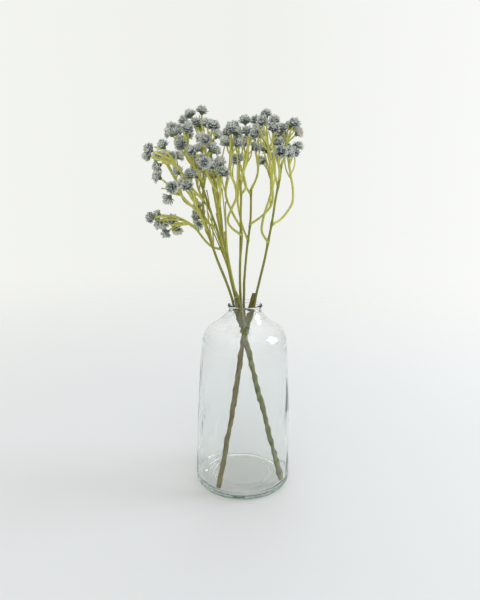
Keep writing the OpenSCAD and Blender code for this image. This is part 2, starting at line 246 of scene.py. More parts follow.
class Shading(Nodes):
    """The node tree of one material."""

    def __init__(self, name):
        self.material = bpy.data.materials.new(name)
        self.material.use_nodes = True
        super().__init__(self.material.node_tree)
        self.out = self.node("OutputMaterial")

    def tone(self):
        """The three numbers that the mesh's tone attribute holds for each vertex."""
        read = self.node("Attribute", attribute_name="tone")
        return self.node("SeparateColor", {"Color": read.outputs["Color"]}).outputs

    def place(self):
        return self.node("TexCoord").outputs["Object"]

    def noise(self, scale, detail=4.0, stretch=(1, 1, 1), roughness=0.55):
        shaped = self.node("Mapping", {"Vector": self.place(), "Scale": stretch}).outputs[0]
        values = {"Vector": shaped, "Scale": scale, "Detail": detail, "Roughness": roughness}
        return self.node("TexNoise", values).outputs["Fac"]

    def bump(self, height, distance, strength=1.0):
        values = {"Height": height, "Distance": distance, "Strength": strength}
        return self.node("Bump", values).outputs[0]

    def principled(self, colour, roughness, **inputs):
        values = {"Base Color": colour if isinstance(colour, bpy.types.NodeSocket) else (*colour, 1),
                  "Roughness": roughness}
        values.update({key.replace("_", " "): value for key, value in inputs.items()})
        return self.node("BsdfPrincipled", values)

    def done(self, shader):
        self.tree.links.new(shader.outputs[0], self.out.inputs["Surface"])
        return self.material


def hammered(s):
    """Height of the small dents low on the body. They are deepest where the glass is seen edge on."""
    across, _, level = s.parts_of(s.place())
    lower = s.maths("MULTIPLY", s.spread(level, 0.012, 0.03), s.spread(level, 0.1, 0.06))
    edge = s.spread(s.maths("ABSOLUTE", across), 0.031, 0.043, 0.25, 4.0)
    dents = s.maths("MULTIPLY", s.noise(150, 2, (1, 1, 0.35), 0.4), s.maths("MULTIPLY", lower, edge))
    return s.maths("MULTIPLY", dents, 0.3)


def clear_glass():
    """Clear soda glass. Long paths through it, as in the base, turn it faintly green."""
    s = Shading("clear_glass")
    streaks = s.noise(45, 3, (1, 1, 0.22))
    grain = s.noise(260, 2, (1, 1, 0.5))
    height = s.maths("ADD", streaks, s.maths("MULTIPLY", grain, 0.12))
    height = s.maths("ADD", height, hammered(s))
    roughness = s.spread(s.noise(60, 3), 0.35, 0.75, 0.0, 0.02)
    glass = s.principled((0.99, 0.997, 0.995), roughness, IOR=1.48, Transmission_Weight=1.0,
                         Normal=s.bump(height, 0.0006, 0.5))
    see_through = s.node("BsdfTransparent", {"Color": (0.905, 0.895, 0.885, 1)})
    path = s.node("LightPath").outputs
    bent = s.mix_shaders(path["Is Diffuse Ray"], glass, see_through)
    depth = s.node("VolumeAbsorption", {"Color": (0.46, 0.57, 0.53, 1), "Density": 24.0})
    s.tree.links.new(depth.outputs[0], s.out.inputs["Volume"])
    return s.done(s.mix_shaders(path["Is Shadow Ray"], bent, see_through))


def steel_wire():
    """Cut steel wire with fine marks along it."""
    s = Shading("steel_wire")
    marks = s.noise(900, 3, (1, 1, 0.2))
    colour = s.ramp(marks, [(0.35, (0.28, 0.27, 0.25)), (0.65, (0.55, 0.55, 0.54))])
    return s.done(s.principled(colour, s.spread(marks, 0.3, 0.7, 0.3, 0.55), Metallic=1.0,
                               Normal=s.bump(marks, 0.0001, 0.4)))


def stem_cover(name, groove, body, ridge):
    """Moulded bark. The tone attribute gives the ridge height, the strand and the cut ends."""
    s = Shading(name)
    high, strand, cut = s.tone()[:3]
    fibres = s.noise(420, 4, (1, 1, 0.25))
    blotches = s.noise(70, 4)
    shade = s.maths("ADD", s.maths("MULTIPLY", high, 0.55), s.maths("MULTIPLY", fibres, 0.45))
    colour = s.ramp(shade, [(0.2, groove), (0.5, body), (0.8, ridge)])
    colour = s.mix(s.spread(blotches, 0.45, 0.7, 0.0, 0.5), colour, body)
    colour = s.mix(s.maths("MULTIPLY", strand, 0.45), colour, (0.25, 0.22, 0.1))
    colour = s.mix(cut, colour, (0.42, 0.38, 0.27))
    return s.done(s.principled(colour, s.spread(fibres, 0.3, 0.7, 0.55, 0.8),
                               Normal=s.bump(fibres, 0.0004, 0.6)))


def stem_tape():
    """Waxed crepe tape. The tone attribute gives the edge of each turn."""
    s = Shading("stem_tape")
    edge = s.tone()[0]
    crepe = s.noise(600, 3, (1, 1, 3))
    colour = s.ramp(crepe, [(0.3, (0.09, 0.11, 0.03)), (0.7, (0.18, 0.2, 0.06))])
    colour = s.mix(s.maths("MULTIPLY", edge, 0.6), colour, (0.28, 0.3, 0.1))
    return s.done(s.principled(colour, s.spread(crepe, 0.3, 0.7, 0.5, 0.7),
                               Normal=s.bump(crepe, 0.0003, 0.6)))


def green_plastic(name, low, high, light):
    """Moulded green plastic. The tone attribute gives the height, a shade per twig and the swellings."""
    s = Shading(name)
    rise, shade, knot = s.tone()[:3]
    patches = s.noise(160, 4, (1, 1, 0.4))
    colour = s.mix(rise, low, high)
    colour = s.mix(s.maths("MULTIPLY", shade, 0.55), colour, light)
    colour = s.mix(s.spread(patches, 0.4, 0.75, 0.0, 0.4), colour, low)
    colour = s.mix(s.maths("MULTIPLY", knot, 0.5), colour, low)
    return s.done(s.principled(colour, s.spread(patches, 0.3, 0.7, 0.35, 0.6), Specular_IOR_Level=0.4,
                               Normal=s.bump(patches, 0.0003, 0.5)))


def cup_plastic():
    """Dark plastic cups. The tone attribute gives the height in the cup and a shade per cup."""
    s = Shading("cup_plastic")
    rise, shade = s.tone()[:2]
    flecks = s.noise(500, 3)
    colour = s.ramp(rise, [(0.0, (0.16, 0.2, 0.07)), (0.3, (0.07, 0.1, 0.08)), (1.0, (0.15, 0.19, 0.19))])
    colour = s.mix(s.spread(flecks, 0.45, 0.75, 0.0, 0.5), colour, (0.2, 0.25, 0.25))
    colour = s.mix(s.maths("MULTIPLY", shade, 0.3), colour, (0.22, 0.26, 0.25))
    return s.done(s.principled(colour, s.spread(flecks, 0.3, 0.7, 0.5, 0.75),
                               Normal=s.bump(flecks, 0.0002, 0.5)))


def petal_fabric():
    """Powdery printed fabric, dark at a petal's foot and pale at its tip.
    The tone attribute gives how far along the petal a point is, the petal's shade and how beige it is."""
    s = Shading("petal_fabric")
    along, shade, beige = s.tone()[:3]
    weave = s.noise(900, 3)
    place = s.maths("ADD", along, s.maths("MULTIPLY", s.maths("SUBTRACT", weave, 0.5), 0.35), clamp=True)
    blue = s.ramp(place, [(0.0, (0.045, 0.07, 0.08)), (0.35, (0.16, 0.22, 0.23)), (0.58, (0.4, 0.475, 0.455)),
                          (0.78, (0.84, 0.87, 0.79)), (0.95, (1.0, 0.995, 0.93))])
    sand = s.ramp(place, [(0.0, (0.35, 0.3, 0.2)), (0.5, (0.78, 0.73, 0.6)), (1.0, (0.97, 0.95, 0.87))])
    colour = s.mix(beige, blue, sand)
    inner = s.maths("SUBTRACT", 1.0, s.maths("POWER", place, 3.0))
    dark = s.maths("MULTIPLY", s.spread(shade, 0.0, 0.9, 0.7, 0.0), inner)
    colour = s.mix(dark, colour, (0.1, 0.15, 0.17))
    colour = s.mix(s.spread(shade, 0.75, 1.0, 0.0, 0.45), colour, (0.92, 0.92, 0.86))
    return s.done(s.principled(colour, s.spread(weave, 0.3, 0.7, 0.75, 0.95), Sheen_Weight=0.25,
                               Specular_IOR_Level=0.2, Normal=s.bump(weave, 0.0002, 0.5)))


# ---- Mesh building ----

class Part:
    """Collects the points (in mm) and faces of one piece."""

    def __init__(self):
        self.points = []
        self.tones = []
        self.faces = []

    def add(self, points, faces, tones):
        first = len(self.points)
        self.points += points
        self.tones += tones
        self.faces += [[first + i for i in face] for face in faces]

    def make(self, name, material, body, slot, *nodes, sharp=50):
        mesh = bpy.data.meshes.new(name)
        mesh.from_pydata([p * MM for p in self.points], [], self.faces)
        tone = mesh.attributes.new("tone", "FLOAT_COLOR", "POINT")
        tone.data.foreach_set("color", [c for t in self.tones for c in (*t, 1.0)])
        mesh.materials.append(material)
        mesh.shade_smooth()
        mesh.set_sharp_from_angle(angle=math.radians(sharp))
        piece = bpy.data.objects.new(name, mesh)
        bpy.context.scene.collection.objects.link(piece)
        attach(piece, body)
        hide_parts(*nodes)
        return piece


def curve_point(a, b, c, d, t):
    """A point on the smooth curve through b and c, with a and d as their neighbours."""
    return b + t / 2 * ((c - a) + t * ((2 * a - 5 * b + 4 * c - d) + t * (3 * (b - c) + d - a)))


def smooth(route, steps):
    """A smooth curve through a route's points, with a number of steps from each to the next."""
    points = [Vector(p) for p in route]
    last = len(points) - 1
    out = []
    for i in range(last):
        near = points[max(i - 1, 0)], points[i], points[i + 1], points[min(i + 2, last)]
        out += [curve_point(*near, j / steps) for j in range(steps)]
    return out + [points[last]]


def rings(points, sides, radius):
    """Rings of points round a route. radius(travelled, angle) gives each point's distance from the route."""
    last = len(points) - 1
    side = (points[1] - points[0]).orthogonal().normalized()
    travelled = 0.0
    out = []
    for i, p in enumerate(points):
        along = (points[min(i + 1, last)] - points[max(i - 1, 0)]).normalized()
        side = (side - side.dot(along) * along).normalized()
        up = along.cross(side)
        if i:
            travelled += (p - points[i - 1]).length
        for k in range(sides):
            angle = TURN * k / sides
            out.append(p + radius(travelled, angle) * (math.cos(angle) * side + math.sin(angle) * up))
    return out


def length_of(points):
    return sum((b - a).length for a, b in zip(points, points[1:]))


def turned(axis, angle):
    """A unit vector square to the axis, turned round it."""
    return Matrix.Rotation(angle, 3, axis) @ axis.orthogonal().normalized()


def body_of(name):
    """The body that a part rides on, from the part's name."""
    return name.split("_")[0] + "_spray"


def side_faces(count, sides, first=0, inside=False):
    """The faces between rings of points that follow each other."""
    out = []
    for i in range(count - 1):
        for k in range(sides):
            a = first + i * sides + k
            b = first + i * sides + (k + 1) % sides
            face = [a, b, b + sides, a + sides]
            out.append(face[::-1] if inside else face)
    return out


def capped_faces(count, sides):
    """The faces of a solid rod: its side and its two flat ends."""
    foot = list(range(sides))[::-1]
    top = [(count - 1) * sides + k for k in range(sides)]
    return side_faces(count, sides) + [foot, top]


def tube_faces(count, sides):
    """The faces of a tube whose bore's points follow those of its skin."""
    bore = count * sides
    top = (count - 1) * sides
    faces = side_faces(count, sides) + side_faces(count, sides, bore, True)
    for k in range(sides):
        m = (k + 1) % sides
        faces.append([m, k, bore + k, bore + m])
        faces.append([top + k, top + m, bore + top + m, bore + top + k])
    return faces


def tones_along(points, sides, tone):
    """The tone of each point of the rings round a route. tone(travelled, angle) gives it."""
    out = []
    travelled = 0.0
    for i in range(len(points)):
        if i:
            travelled += (points[i] - points[i - 1]).length
        out += [tone(travelled, TURN * k / sides) for k in range(sides)]
    return out


def rod(part, points, sides, radius, tone):
    """A solid rod along a route."""
    tones = tones_along(points, sides, tone)
    part.add(rings(points, sides, radius), capped_faces(len(points), sides), tones)


# ---- Vase ----

def arc(r, z, radius, start, end, steps):
    """Points of an arc about (r, z), between two directions in degrees."""
    turns = [math.radians(start + (end - start) * i / steps) for i in range(steps + 1)]
    return [(r + radius * math.cos(a), z + radius * math.sin(a)) for a in turns]


def body_at(z):
    """Radius of the body at a height: it narrows gently from the base to the shoulder."""
    return BODY_R - (BODY_R - SHOULDER_R) * ((z - BASE_ROUND) / (SHOULDER_Z - BASE_ROUND)) ** 1.6


def rounded(outline, steps):
    """A smooth curve through an outline's points, which are (radius, height)."""
    return [(p.x, p.z) for p in smooth([(r, 0, z) for r, z in outline], steps)]


def glass_profile():
    """The wall's cut from the middle of the underside, round the lip, to the middle of the floor."""
    steps = 60
    heights = [BASE_ROUND + (SHOULDER_Z - BASE_ROUND) * i / steps for i in range(steps + 1)]
    under = rounded([(0, PUNT_H), (15, PUNT_H * 0.94), (24, PUNT_H * 0.84), (26.2, PUNT_H * 0.82),
                     (27.4, PUNT_H * 0.52), (31, PUNT_H * 0.44), (34, PUNT_H * 0.3), (RESTING_R, 0)], 5)
    outer = arc(BODY_R - BASE_ROUND, BASE_ROUND, BASE_ROUND, -90, -6, 16) + [(body_at(z), z) for z in heights]
    outer += rounded([(39.9, 143), (39.5, 145.5), (38.6, 149.6), (36.8, 153.2), (34, 156.6), (30, 159.8),
                      (25, 163), (21, 166), (18, 169.4), (15.8, 172.6), (14.6, 175.2), (14.75, 176.2)], 4)
    lip = arc(LIP_R - LIP_ROUND, VASE_H - LIP_ROUND, LIP_ROUND, -70, 180, 28)
    inner = rounded([(12.45, 176.8), (12.7, 174.6), (13.7, 171.8), (16.2, 168.2), (19.4, 164.4),
                     (23.6, 161.2), (28.6, 158), (32.4, 155), (34.8, 152), (36.4, 148.8), (37.2, 145),
                     (37.8, 142)], 4)
    for z in heights[:1:-1]:
        wall = WALL + THICKER * math.exp(-((z - THICKER_Z) / THICKER_SPAN) ** 2)
        inner.append((body_at(z) - wall, z))
    inner += arc(BODY_R - WALL - GROOVE_ROUND, GROOVE_Z + GROOVE_ROUND, GROOVE_ROUND, 0, -84, 10)
    floor = rounded([(35.6, 5.9), (34, 6.6), (28, 8.2), (15, 9.6), (0, FLOOR_H)], 5)
    return under + outer + lip + inner + floor


def glass_offset(r, z, angle, inside):
    """How far the poured glass stands off its true outline, in mm."""
    x, y = math.cos(angle), math.sin(angle)
    swing = Vector((x * 3.2, y * 3.2, z / 42 + (9 if inside else 0)))
    fine = Vector((x * 9, y * 9, z / 30 + (31 if inside else 17)))
    band = math.exp(-((z - RIPPLED_Z) / RIPPLED_SPAN) ** 2)
    side = band * x ** 8
    size = (0.17 if inside else 0.08) * (1 + 0.4 * band + 2 * side)
    fine_share = 0.3 + 0.2 * band + 0.5 * side
    near_axis = min(1.0, r / 12)
    return near_axis * size * (noise.noise(swing) + fine_share * noise.noise(fine))


def vase():
    """The glass, turned from its outline and then made a little uneven."""
    sides = 192
    profile = glass_profile()
    lip_at = max(range(len(profile)), key=lambda i: profile[i][1])
    part = Part()
    points = []
    for i, (r, z) in enumerate(profile[1:-1], 1):
        inside = i > lip_at
        for k in range(sides):
            angle = TURN * k / sides
            out = r + glass_offset(r, z, angle, inside)
            lift = 0.0
            if inside and z < FLOOR_H and r > 20:
                lift = 0.3 * noise.noise(Vector((math.cos(angle) * 4, math.sin(angle) * 4, r / 9)))
            points.append(Vector((out * math.cos(angle), out * math.sin(angle), z + lift)))
    count = len(profile) - 2
    faces = side_faces(count, sides)
    low, high = len(points), len(points) + 1
    points += [Vector((0, 0, profile[0][1])), Vector((0, 0, profile[-1][1]))]
    top = (count - 1) * sides
    faces += [[low, (k + 1) % sides, k] for k in range(sides)]
    faces += [[high, top + k, top + (k + 1) % sides] for k in range(sides)]
    part.add(points, faces, [(0.5, 0.5, 0.5)] * len(points))
    part.make("glass", clear_glass(), "vase", "clear_glass", "vase", sharp=40)


# ---- Stems ----

class Bark:
    """Surface of a moulded stem: strands that wind round it, knuckles along it and fine noise."""

    def __init__(self, length, pitch, strands, depth, seed):
        self.length = length
        self.pitch = pitch
        self.strands = strands
        self.depth = depth
        self.seed = seed
        self.knuckles = []
        at = rng.uniform(4, 9)
        while at < length:
            self.knuckles.append((at, rng.uniform(0.25, 0.45), rng.uniform(0, TURN)))
            at += rng.uniform(9, 16)

    def strand(self, travelled, angle):
        """1 on the crest of a strand, 0 in the groove between two."""
        wave = math.cos(self.strands * angle - TURN * travelled / self.pitch)
        return (0.5 + 0.5 * wave) ** 0.8

    def rough(self, travelled, angle):
        place = Vector((math.cos(angle) * 1.4, math.sin(angle) * 1.4, travelled / 5 + self.seed))
        return noise.noise(place)

    def knuckle(self, travelled, angle):
        """How far the slanting knuckles stand out: each starts sharply and runs out slowly."""
        lift = 0.0
        for at, size, side in self.knuckles:
            tilt = at + 0.9 * math.cos(angle - side)
            past = travelled - tilt
            lift += size * math.exp(-(past / (0.8 if past < 0 else 3.0)) ** 2)
        return lift

    def radius(self, travelled, angle):
        r = STEM_D / 2 - 0.2 + self.depth * (self.strand(travelled, angle) - 0.35)
        r += self.knuckle(travelled, angle) + 0.12 * self.rough(travelled, angle)
        edge = min(travelled, self.length - travelled)
        return r - 0.25 * max(0.0, 1 - edge / 0.6)

    def tone(self, travelled, angle):
        edge = min(travelled, self.length - travelled)
        mixed = 0.5 + 0.5 * math.cos(angle - TURN * travelled / (2.4 * self.pitch) + self.seed)
        high = 0.5 * self.strand(travelled, angle) + 0.5 + 0.6 * self.rough(travelled, angle) - 0.25
        return (min(max(high, 0.0), 1.0), mixed, max(0.0, 1 - edge / 0.5))


def stem_route(spray):
    """The main stem's route with the slight wander of a moulded stem, which dies out at its ends."""
    route = smooth(STEMS[spray], 16)
    last = len(route) - 1
    out = []
    for i, p in enumerate(route):
        hold = min(1.0, i / 8, (last - i) / 8)
        sway = noise.noise_vector(Vector((p.z / 9, STEM_SWAY[spray], 0))) * 0.45 * hold
        out.append(p + Vector((sway.x, sway.y, 0)))
    return out


def stem(spray, cover):
    """The moulded cover of a main stem, with its bore for the wire."""
    route = stem_route(spray)
    sides = 28
    bark = Bark(length_of(route), **BARK[spray])
    skin = rings(route, sides, bark.radius)
    bore = rings(route, sides, lambda travelled, angle: WIRE_D / 2)
    tones = tones_along(route, sides, bark.tone) + [(0.4, 0.5, 1.0)] * len(bore)
    part = Part()
    part.add(skin + bore, tube_faces(len(route), sides), tones)
    part.make(spray + "_bark", cover, body_of(spray), "stem_cover", spray + "_stem")


def wire(spray, steel):
    """The wire core of a main stem."""
    part = Part()
    rod(part, stem_route(spray), 20, lambda travelled, angle: WIRE_D / 2, lambda travelled, angle: (0, 0, 0))
    part.make(spray + "_core", steel, body_of(spray), "steel_wire", spray + "_wire")


def binding(spray, tape):
    """Crepe tape wound over the feet of the stalks in four overlapping turns."""
    route = [Vector(p) for p in STEMS[spray]]
    along = (route[BINDING_AT + 1] - route[BINDING_AT - 1]).normalized()
    middle = route[BINDING_AT]
    steps, sides, turns = 60, 48, 4
    points = [middle + along * BINDING_L * (i / steps - 0.5) for i in range(steps + 1)]
    feet = [smooth(foot, 6) for name, foot in STALKS.items() if name.startswith(spray)]
    round_stalk = STALK_D * 0.7

    def bulge(centre, way):
        """How far the tape has to reach to go round the nearest stalk in this direction."""
        reach = 0.0
        for foot in feet:
            near = min(foot, key=lambda p: abs((p - centre).dot(along)))
            off = near - centre
            off -= off.dot(along) * along
            across = (off - off.dot(way) * way).length
            if off.dot(way) > 0 and across < round_stalk and off.length < 5.5:
                reach = max(reach, off.dot(way) + math.sqrt(round_stalk ** 2 - across ** 2))
        return reach

    side = along.orthogonal().normalized()
    up = along.cross(side)
    skin, bore, tones = [], [], []
    for i, centre in enumerate(points):
        for k in range(sides):
            angle = TURN * k / sides
            way = math.cos(angle) * side + math.sin(angle) * up
            lap = (turns * i / steps - k / sides) % 1
            r = BINDING_D / 2 - 0.3 + 0.28 * lap
            r = max(r, min(bulge(centre, way), TAPE_REACH) + 0.2 * lap)
            skin.append(centre + r * way)
            bore.append(centre + STEM_D / 2 * 0.98 * way)
            tones.append((max(0.0, lap - 0.8) * 5, 0.5, 0.5))
    part = Part()
    part.add(skin + bore, tube_faces(steps + 1, sides), tones + tones)
    part.make(spray + "_tape", tape, body_of(spray), "stem_tape", spray + "_binding")


# ---- Stalks, twigs and bracts ----

def wobble(angle, along):
    """Smooth noise on the surface of a rod."""
    return noise.noise(Vector((math.cos(angle), math.sin(angle), along)))


def rise_at(z):
    """0 near the vase's mouth, 1 near the top of the sprays."""
    return min(max((z - RISE_FROM) / (RISE_TO - RISE_FROM), 0.0), 1.0)


def bract(part, foot, along, way, length, shade):
    """A small pointed leaf that clasps a twig."""
    across = along.cross(way).normalized()
    points, tones = [], []
    rows = 5
    for i in range(rows + 1):
        s = i / rows
        width = length * 0.2 * math.sin(math.pi * min(0.97, 0.18 + 0.8 * s))
        centre = foot + along * length * s * (1 - 0.25 * s) + way * (0.35 + length * 0.38 * s * s)
        for c in (-1, 0, 1):
            points.append(centre + across * width * c + way * (0.12 if c == 0 else -0.05))
            tones.append((rise_at(foot.z), shade, 0.3 * (1 - s)))
    faces = [[i * 3 + c, i * 3 + c + 1, i * 3 + c + 4, i * 3 + c + 3] for i in range(rows) for c in (0, 1)]
    part.add(points, faces, tones)


def shoot(part, start, end, bow, rise, shade):
    """A thin bare side shoot that narrows to its tip and ends in a small leaf."""
    reach = (end - start).length
    steps = 12
    side = turned((end - start).normalized(), shoot_rng.uniform(0, TURN))
    way = []
    for i in range(steps + 1):
        way.append(start.lerp(end, i / steps) + side * bow * math.sin(math.pi * (i / steps) ** 0.8))

    def radius(travelled, angle):
        flare = 0.5 * math.exp(-travelled / 1.5)
        return PEDICEL_D / 2 * MOULDED * (1 + flare - 0.35 * min(travelled / reach, 1.0))

    rod(part, way, 8, radius, lambda travelled, angle: (rise, shade, 0.0))
    along = (way[-1] - way[-2]).normalized()
    leaf_way = turned(along, shoot_rng.uniform(0, TURN))
    bract(part, way[-1] - along * 2, along, leaf_way, shoot_rng.uniform(3.0, 4.5), shade)


def twig_shoots(part, name, row, route):
    """The bare shoots of one twig: they rise beside it into the gaps of its ring of blooms."""
    fork = route[-1]
    ring = [at for at, face in blooms_of(row)]
    for k in range(TWIG_SHOOTS[name.split("_")[0]]):
        gap = (ring[k % len(ring)] + ring[(k + 1) % len(ring)]) / 2
        end = fork.lerp(gap, shoot_rng.uniform(0.7, 1.0))
        start = route[int((len(route) - 1) * shoot_rng.uniform(0.55, 0.95))]
        bow = (end - start).length * shoot_rng.uniform(0.06, 0.16)
        shoot(part, start, end, bow, rise_at(fork.z), shoot_rng.uniform(0.3, 1.0))


def stalk_shoots(part, name, route):
    """The bare pale shoots that rise beside a stalk in its upper half."""
    last = len(route) - 1
    for k in range(STALK_SHOOTS.get(name, 0)):
        share = shoot_rng.uniform(0.32, 0.58)
        start = route[int(share * last)]
        top = route[int(min(share + shoot_rng.uniform(0.25, 0.4), 0.97) * last)]
        turn = shoot_rng.uniform(0, TURN)
        end = top + Vector((5.5 * math.cos(turn), 5.5 * math.sin(turn), 0))
        bow = shoot_rng.uniform(1.0, 3.0)
        shoot(part, start, end, bow, 1.0, shoot_rng.uniform(0.7, 1.0))


def stalk(name, plastic):
    """A stalk with faint ribs, which swells where its twigs leave it."""
    route = smooth(STALKS[name], 10)
    length = length_of(route)
    joints = [Vector(row[0][0]) for row in TWIGS[name]]
    knots = []
    for joint in joints:
        near = min(range(len(route)), key=lambda i: (route[i] - joint).length)
        if (route[near] - joint).length < 4:
            knots.append(length_of(route[:near + 1]))
    seed = rng.uniform(0, 50)
    shade = rng.uniform(0.0, 0.25)
    foot, top = route[0].z, route[-1].z

    def swell(travelled):
        return sum(math.exp(-((travelled - k) / 2.2) ** 2) for k in knots)

    def radius(travelled, angle):
        r = STALK_D / 2 * (1 - 0.25 * travelled / length)
        ribs = 1 + 0.05 * math.cos(5 * angle + travelled / 14)
        wander = 1 + 0.08 * wobble(angle, travelled / 4 + seed)
        return r * ribs * wander * (1 + 0.3 * min(swell(travelled), 1.2))

    def tone(travelled, angle):
        z = foot + (top - foot) * travelled / length
        return (rise_at(z), shade + 0.12 * math.cos(5 * angle), min(swell(travelled), 1.0) * 0.6)

    part = Part()
    rod(part, route, 20, radius, tone)
    stalk_shoots(part, name, route)
    part.make(name + "_stalk_skin", plastic, body_of(name), "stalk_plastic", name + "_stalk")


def blooms_of(row):
    """The middle and the facing of each bloom that a twig carries, worked out as in the CAD source."""
    fork = Vector(row[0][-1])
    middle, r, count, turn, out = row[1]
    middle = Vector(middle)
    d = (middle - fork).normalized()
    u = d.cross(Vector((0, 1, 0))).normalized()
    v = d.cross(u)
    found = []
    for i in range(count):
        a = math.radians(turn) + TURN * i / count
        at = middle + r * (math.cos(a) * u + math.sin(a) * v) + (out if i % 2 == 0 else -out) * d
        found.append((at, (at - fork).normalized()))
    return found


def twig(part, route, shade):
    """The rod of a twig, from its stalk to its fork."""
    length = length_of(route)
    seed = rng.uniform(0, 50)

    def radius(travelled, angle):
        flare = 0.5 * math.exp(-travelled / 1.8) + 0.35 * math.exp(-(length - travelled) / 1.2)
        return TWIG_D / 2 * (MOULDED + flare + 0.1 * wobble(angle, travelled / 3 + seed))

    def tone(travelled, angle):
        z = route[0].z + (route[-1].z - route[0].z) * travelled / length
        return (rise_at(z), shade, 0.7 * math.exp(-travelled / 2))

    rod(part, route, 12, radius, tone)


def twig_bracts(part, route):
    """Two small leaves at a twig's fork and one at its foot."""
    fork = route[-1]
    along = (fork - route[-3]).normalized()
    turn = rng.uniform(0, TURN)
    for leaf in range(2):
        way = turned(along, turn + math.pi * leaf)
        bract(part, fork - along * 0.6, along, way, rng.uniform(3.0, 4.4), rng.uniform(0.3, 1.0))
    start = (route[2] - route[0]).normalized()
    way = turned(start, rng.uniform(0, TURN))
    bract(part, route[0] + start * 0.8, start, way, rng.uniform(3.5, 5.0), rng.uniform(0.2, 0.8))


def pedicel(part, fork, at, face, shade):
    """The thin bowed stem from a twig's fork to the cup of one bloom."""
    end = at - face * (BLOOM_H / 2 + CUP_H * 0.5)
    size = rng.uniform(0.3, 0.9)
    bow = turned(face, rng.uniform(0, TURN)) * size
    reach = (end - fork).length
    seed = rng.uniform(0, 50)
    steps = 10
    route = [fork.lerp(end, i / steps) + bow * math.sin(math.pi * i / steps) for i in range(steps + 1)]
    own = min(1.0, max(0.0, shade + rng.uniform(-0.2, 0.4)))

    def radius(travelled, angle):
        flare = 0.25 * math.exp(-travelled / 1.5) + 0.3 * math.exp(-(reach - travelled))
        return PEDICEL_D / 2 * (MOULDED + flare + 0.1 * wobble(angle, travelled / 3 + seed))

    rod(part, route, 10, radius, lambda travelled, angle: (rise_at(fork.z), own, 0.0))


def twigs(name, plastic):
    """All twigs of one stalk, with their shoots, leaves and pedicels."""
    part = Part()
    for row in TWIGS[name]:
        route = smooth(row[0], 8)
        twig_shoots(part, name, row, route)
        shade = rng.uniform(0.1, 0.9)
        twig(part, route, shade)
        twig_bracts(part, route)
        for at, face in blooms_of(row):
            pedicel(part, route[-1], at, face, shade)
    part.make(name + "_sprigs", plastic, body_of(name), "twig_plastic", name + "_twigs")


# ---- Cups and blooms ----

def cup(part, at, face):
    """A five-lobed cup with a swollen foot, whose rings run up its outside and down its inside."""
    sides, steps = 30, 8
    foot = at - face * (BLOOM_H / 2 + CUP_H)
    u = turned(face, rng.uniform(0, TURN))
    v = face.cross(u)
    shade = rng.random()
    points, tones = [], []
    for ring in range(2 * steps + 2):
        inside = ring > steps
        s = (2 * steps + 1 - ring) / steps if inside else ring / steps
        bell = PEDICEL_D * 0.75 + (BLOOM_D * 0.27 - PEDICEL_D * 0.75) * s ** 0.75
        swell = 0.14 * math.sin(math.pi * min(1, s * 2.4))
        for k in range(sides):
            angle = TURN * k / sides
            lobe = abs(math.cos(2.5 * angle)) ** 0.7
            r = bell * (1 - 0.08 * (1 - lobe)) + swell
            h = CUP_H * s + 0.9 * s ** 3 * lobe
            if inside:
                r = max(r - 0.3, 0.2)
                h += 0.25 * (1 - s) - 0.02 * CUP_H * s
            points.append(foot + face * h + r * (math.cos(angle) * u + math.sin(angle) * v))
            tones.append((s, shade, 0.0))
    part.add(points, capped_faces(2 * steps + 2, sides), tones)


def cups(name, plastic):
    """The cups under all blooms of one stalk."""
    part = Part()
    for row in TWIGS[name]:
        for at, face in blooms_of(row):
            cup(part, at, face)
    part.make(name + "_sepals", plastic, body_of(name), "cup_plastic", name + "_cups")


# Petals from the skirt to the crown: count, foot radius, foot height, start and end slope in degrees,
# length and width.
PETAL_ROWS = (
    (9, 1.8, 0.2, -12, 18, 3.6, 2.7),
    (12, 1.7, 0.5, 14, 34, 3.9, 2.8),
    (11, 1.4, 0.8, 40, 52, 4.2, 2.6),
    (9, 1.0, 1.0, 62, 70, 4.5, 2.3),
    (7, 0.6, 1.1, 80, 84, 4.7, 1.9),
    (4, 0.2, 1.1, 92, 96, 4.5, 1.5),
)
PETAL_WIDTHS = (0.4, 0.78, 1.0, 1.04, 0.84)  # shares of a petal's width, from its foot to its tip


def petal(part, foot, face, out, row, shade, beige):
    """One creased petal with two ragged teeth at its tip."""
    r, h, slope_a, slope_b, length, width = row
    length *= rng.uniform(0.82, 1.12)
    width *= rng.uniform(0.75, 1.15)
    slope_b += rng.uniform(-14, 14)
    drift = rng.uniform(-0.35, 0.35)
    crease = width * rng.uniform(0.08, 0.24)
    across = face.cross(out)
    last = len(PETAL_WIDTHS) - 1
    points, tones = [], []
    for i, share in enumerate(PETAL_WIDTHS):
        slope = math.radians(slope_a + (slope_b - slope_a) * i / last)
        way = math.cos(slope) * out + math.sin(slope) * face
        lift = math.cos(slope) * face - math.sin(slope) * out
        if i:
            r += length / last * 0.86 * math.cos(slope)
            h += length / last * 0.86 * math.sin(slope)
        middle = foot + out * r + face * h + across * drift * length * (i / last) ** 2
        for c in (-1, 0, 1):
            raised = rng.uniform(-0.3, 0.3) if i > 2 else 0.0
            raised -= crease if c == 0 else 0.0
            points.append(middle + across * (c * share * width / 2) + lift * raised)
            tones.append((0.7 * i / last + (0.45 * i / last if c else 0), shade, beige))
    end = last * 3
    for c in (0, 1):
        tooth = (points[end + c] + points[end + c + 1]) / 2
        points.append(tooth + way * length * rng.uniform(0.06, 0.26) + across * rng.uniform(-0.2, 0.2))
        tones.append((1.0, shade, beige))
    faces = [[i * 3 + c, i * 3 + c + 1, i * 3 + c + 4, i * 3 + c + 3] for i in range(last) for c in (0, 1)]
    faces += [[end, end + 1, end + 3], [end + 1, end + 2, end + 4]]
    part.add(points, faces, tones)


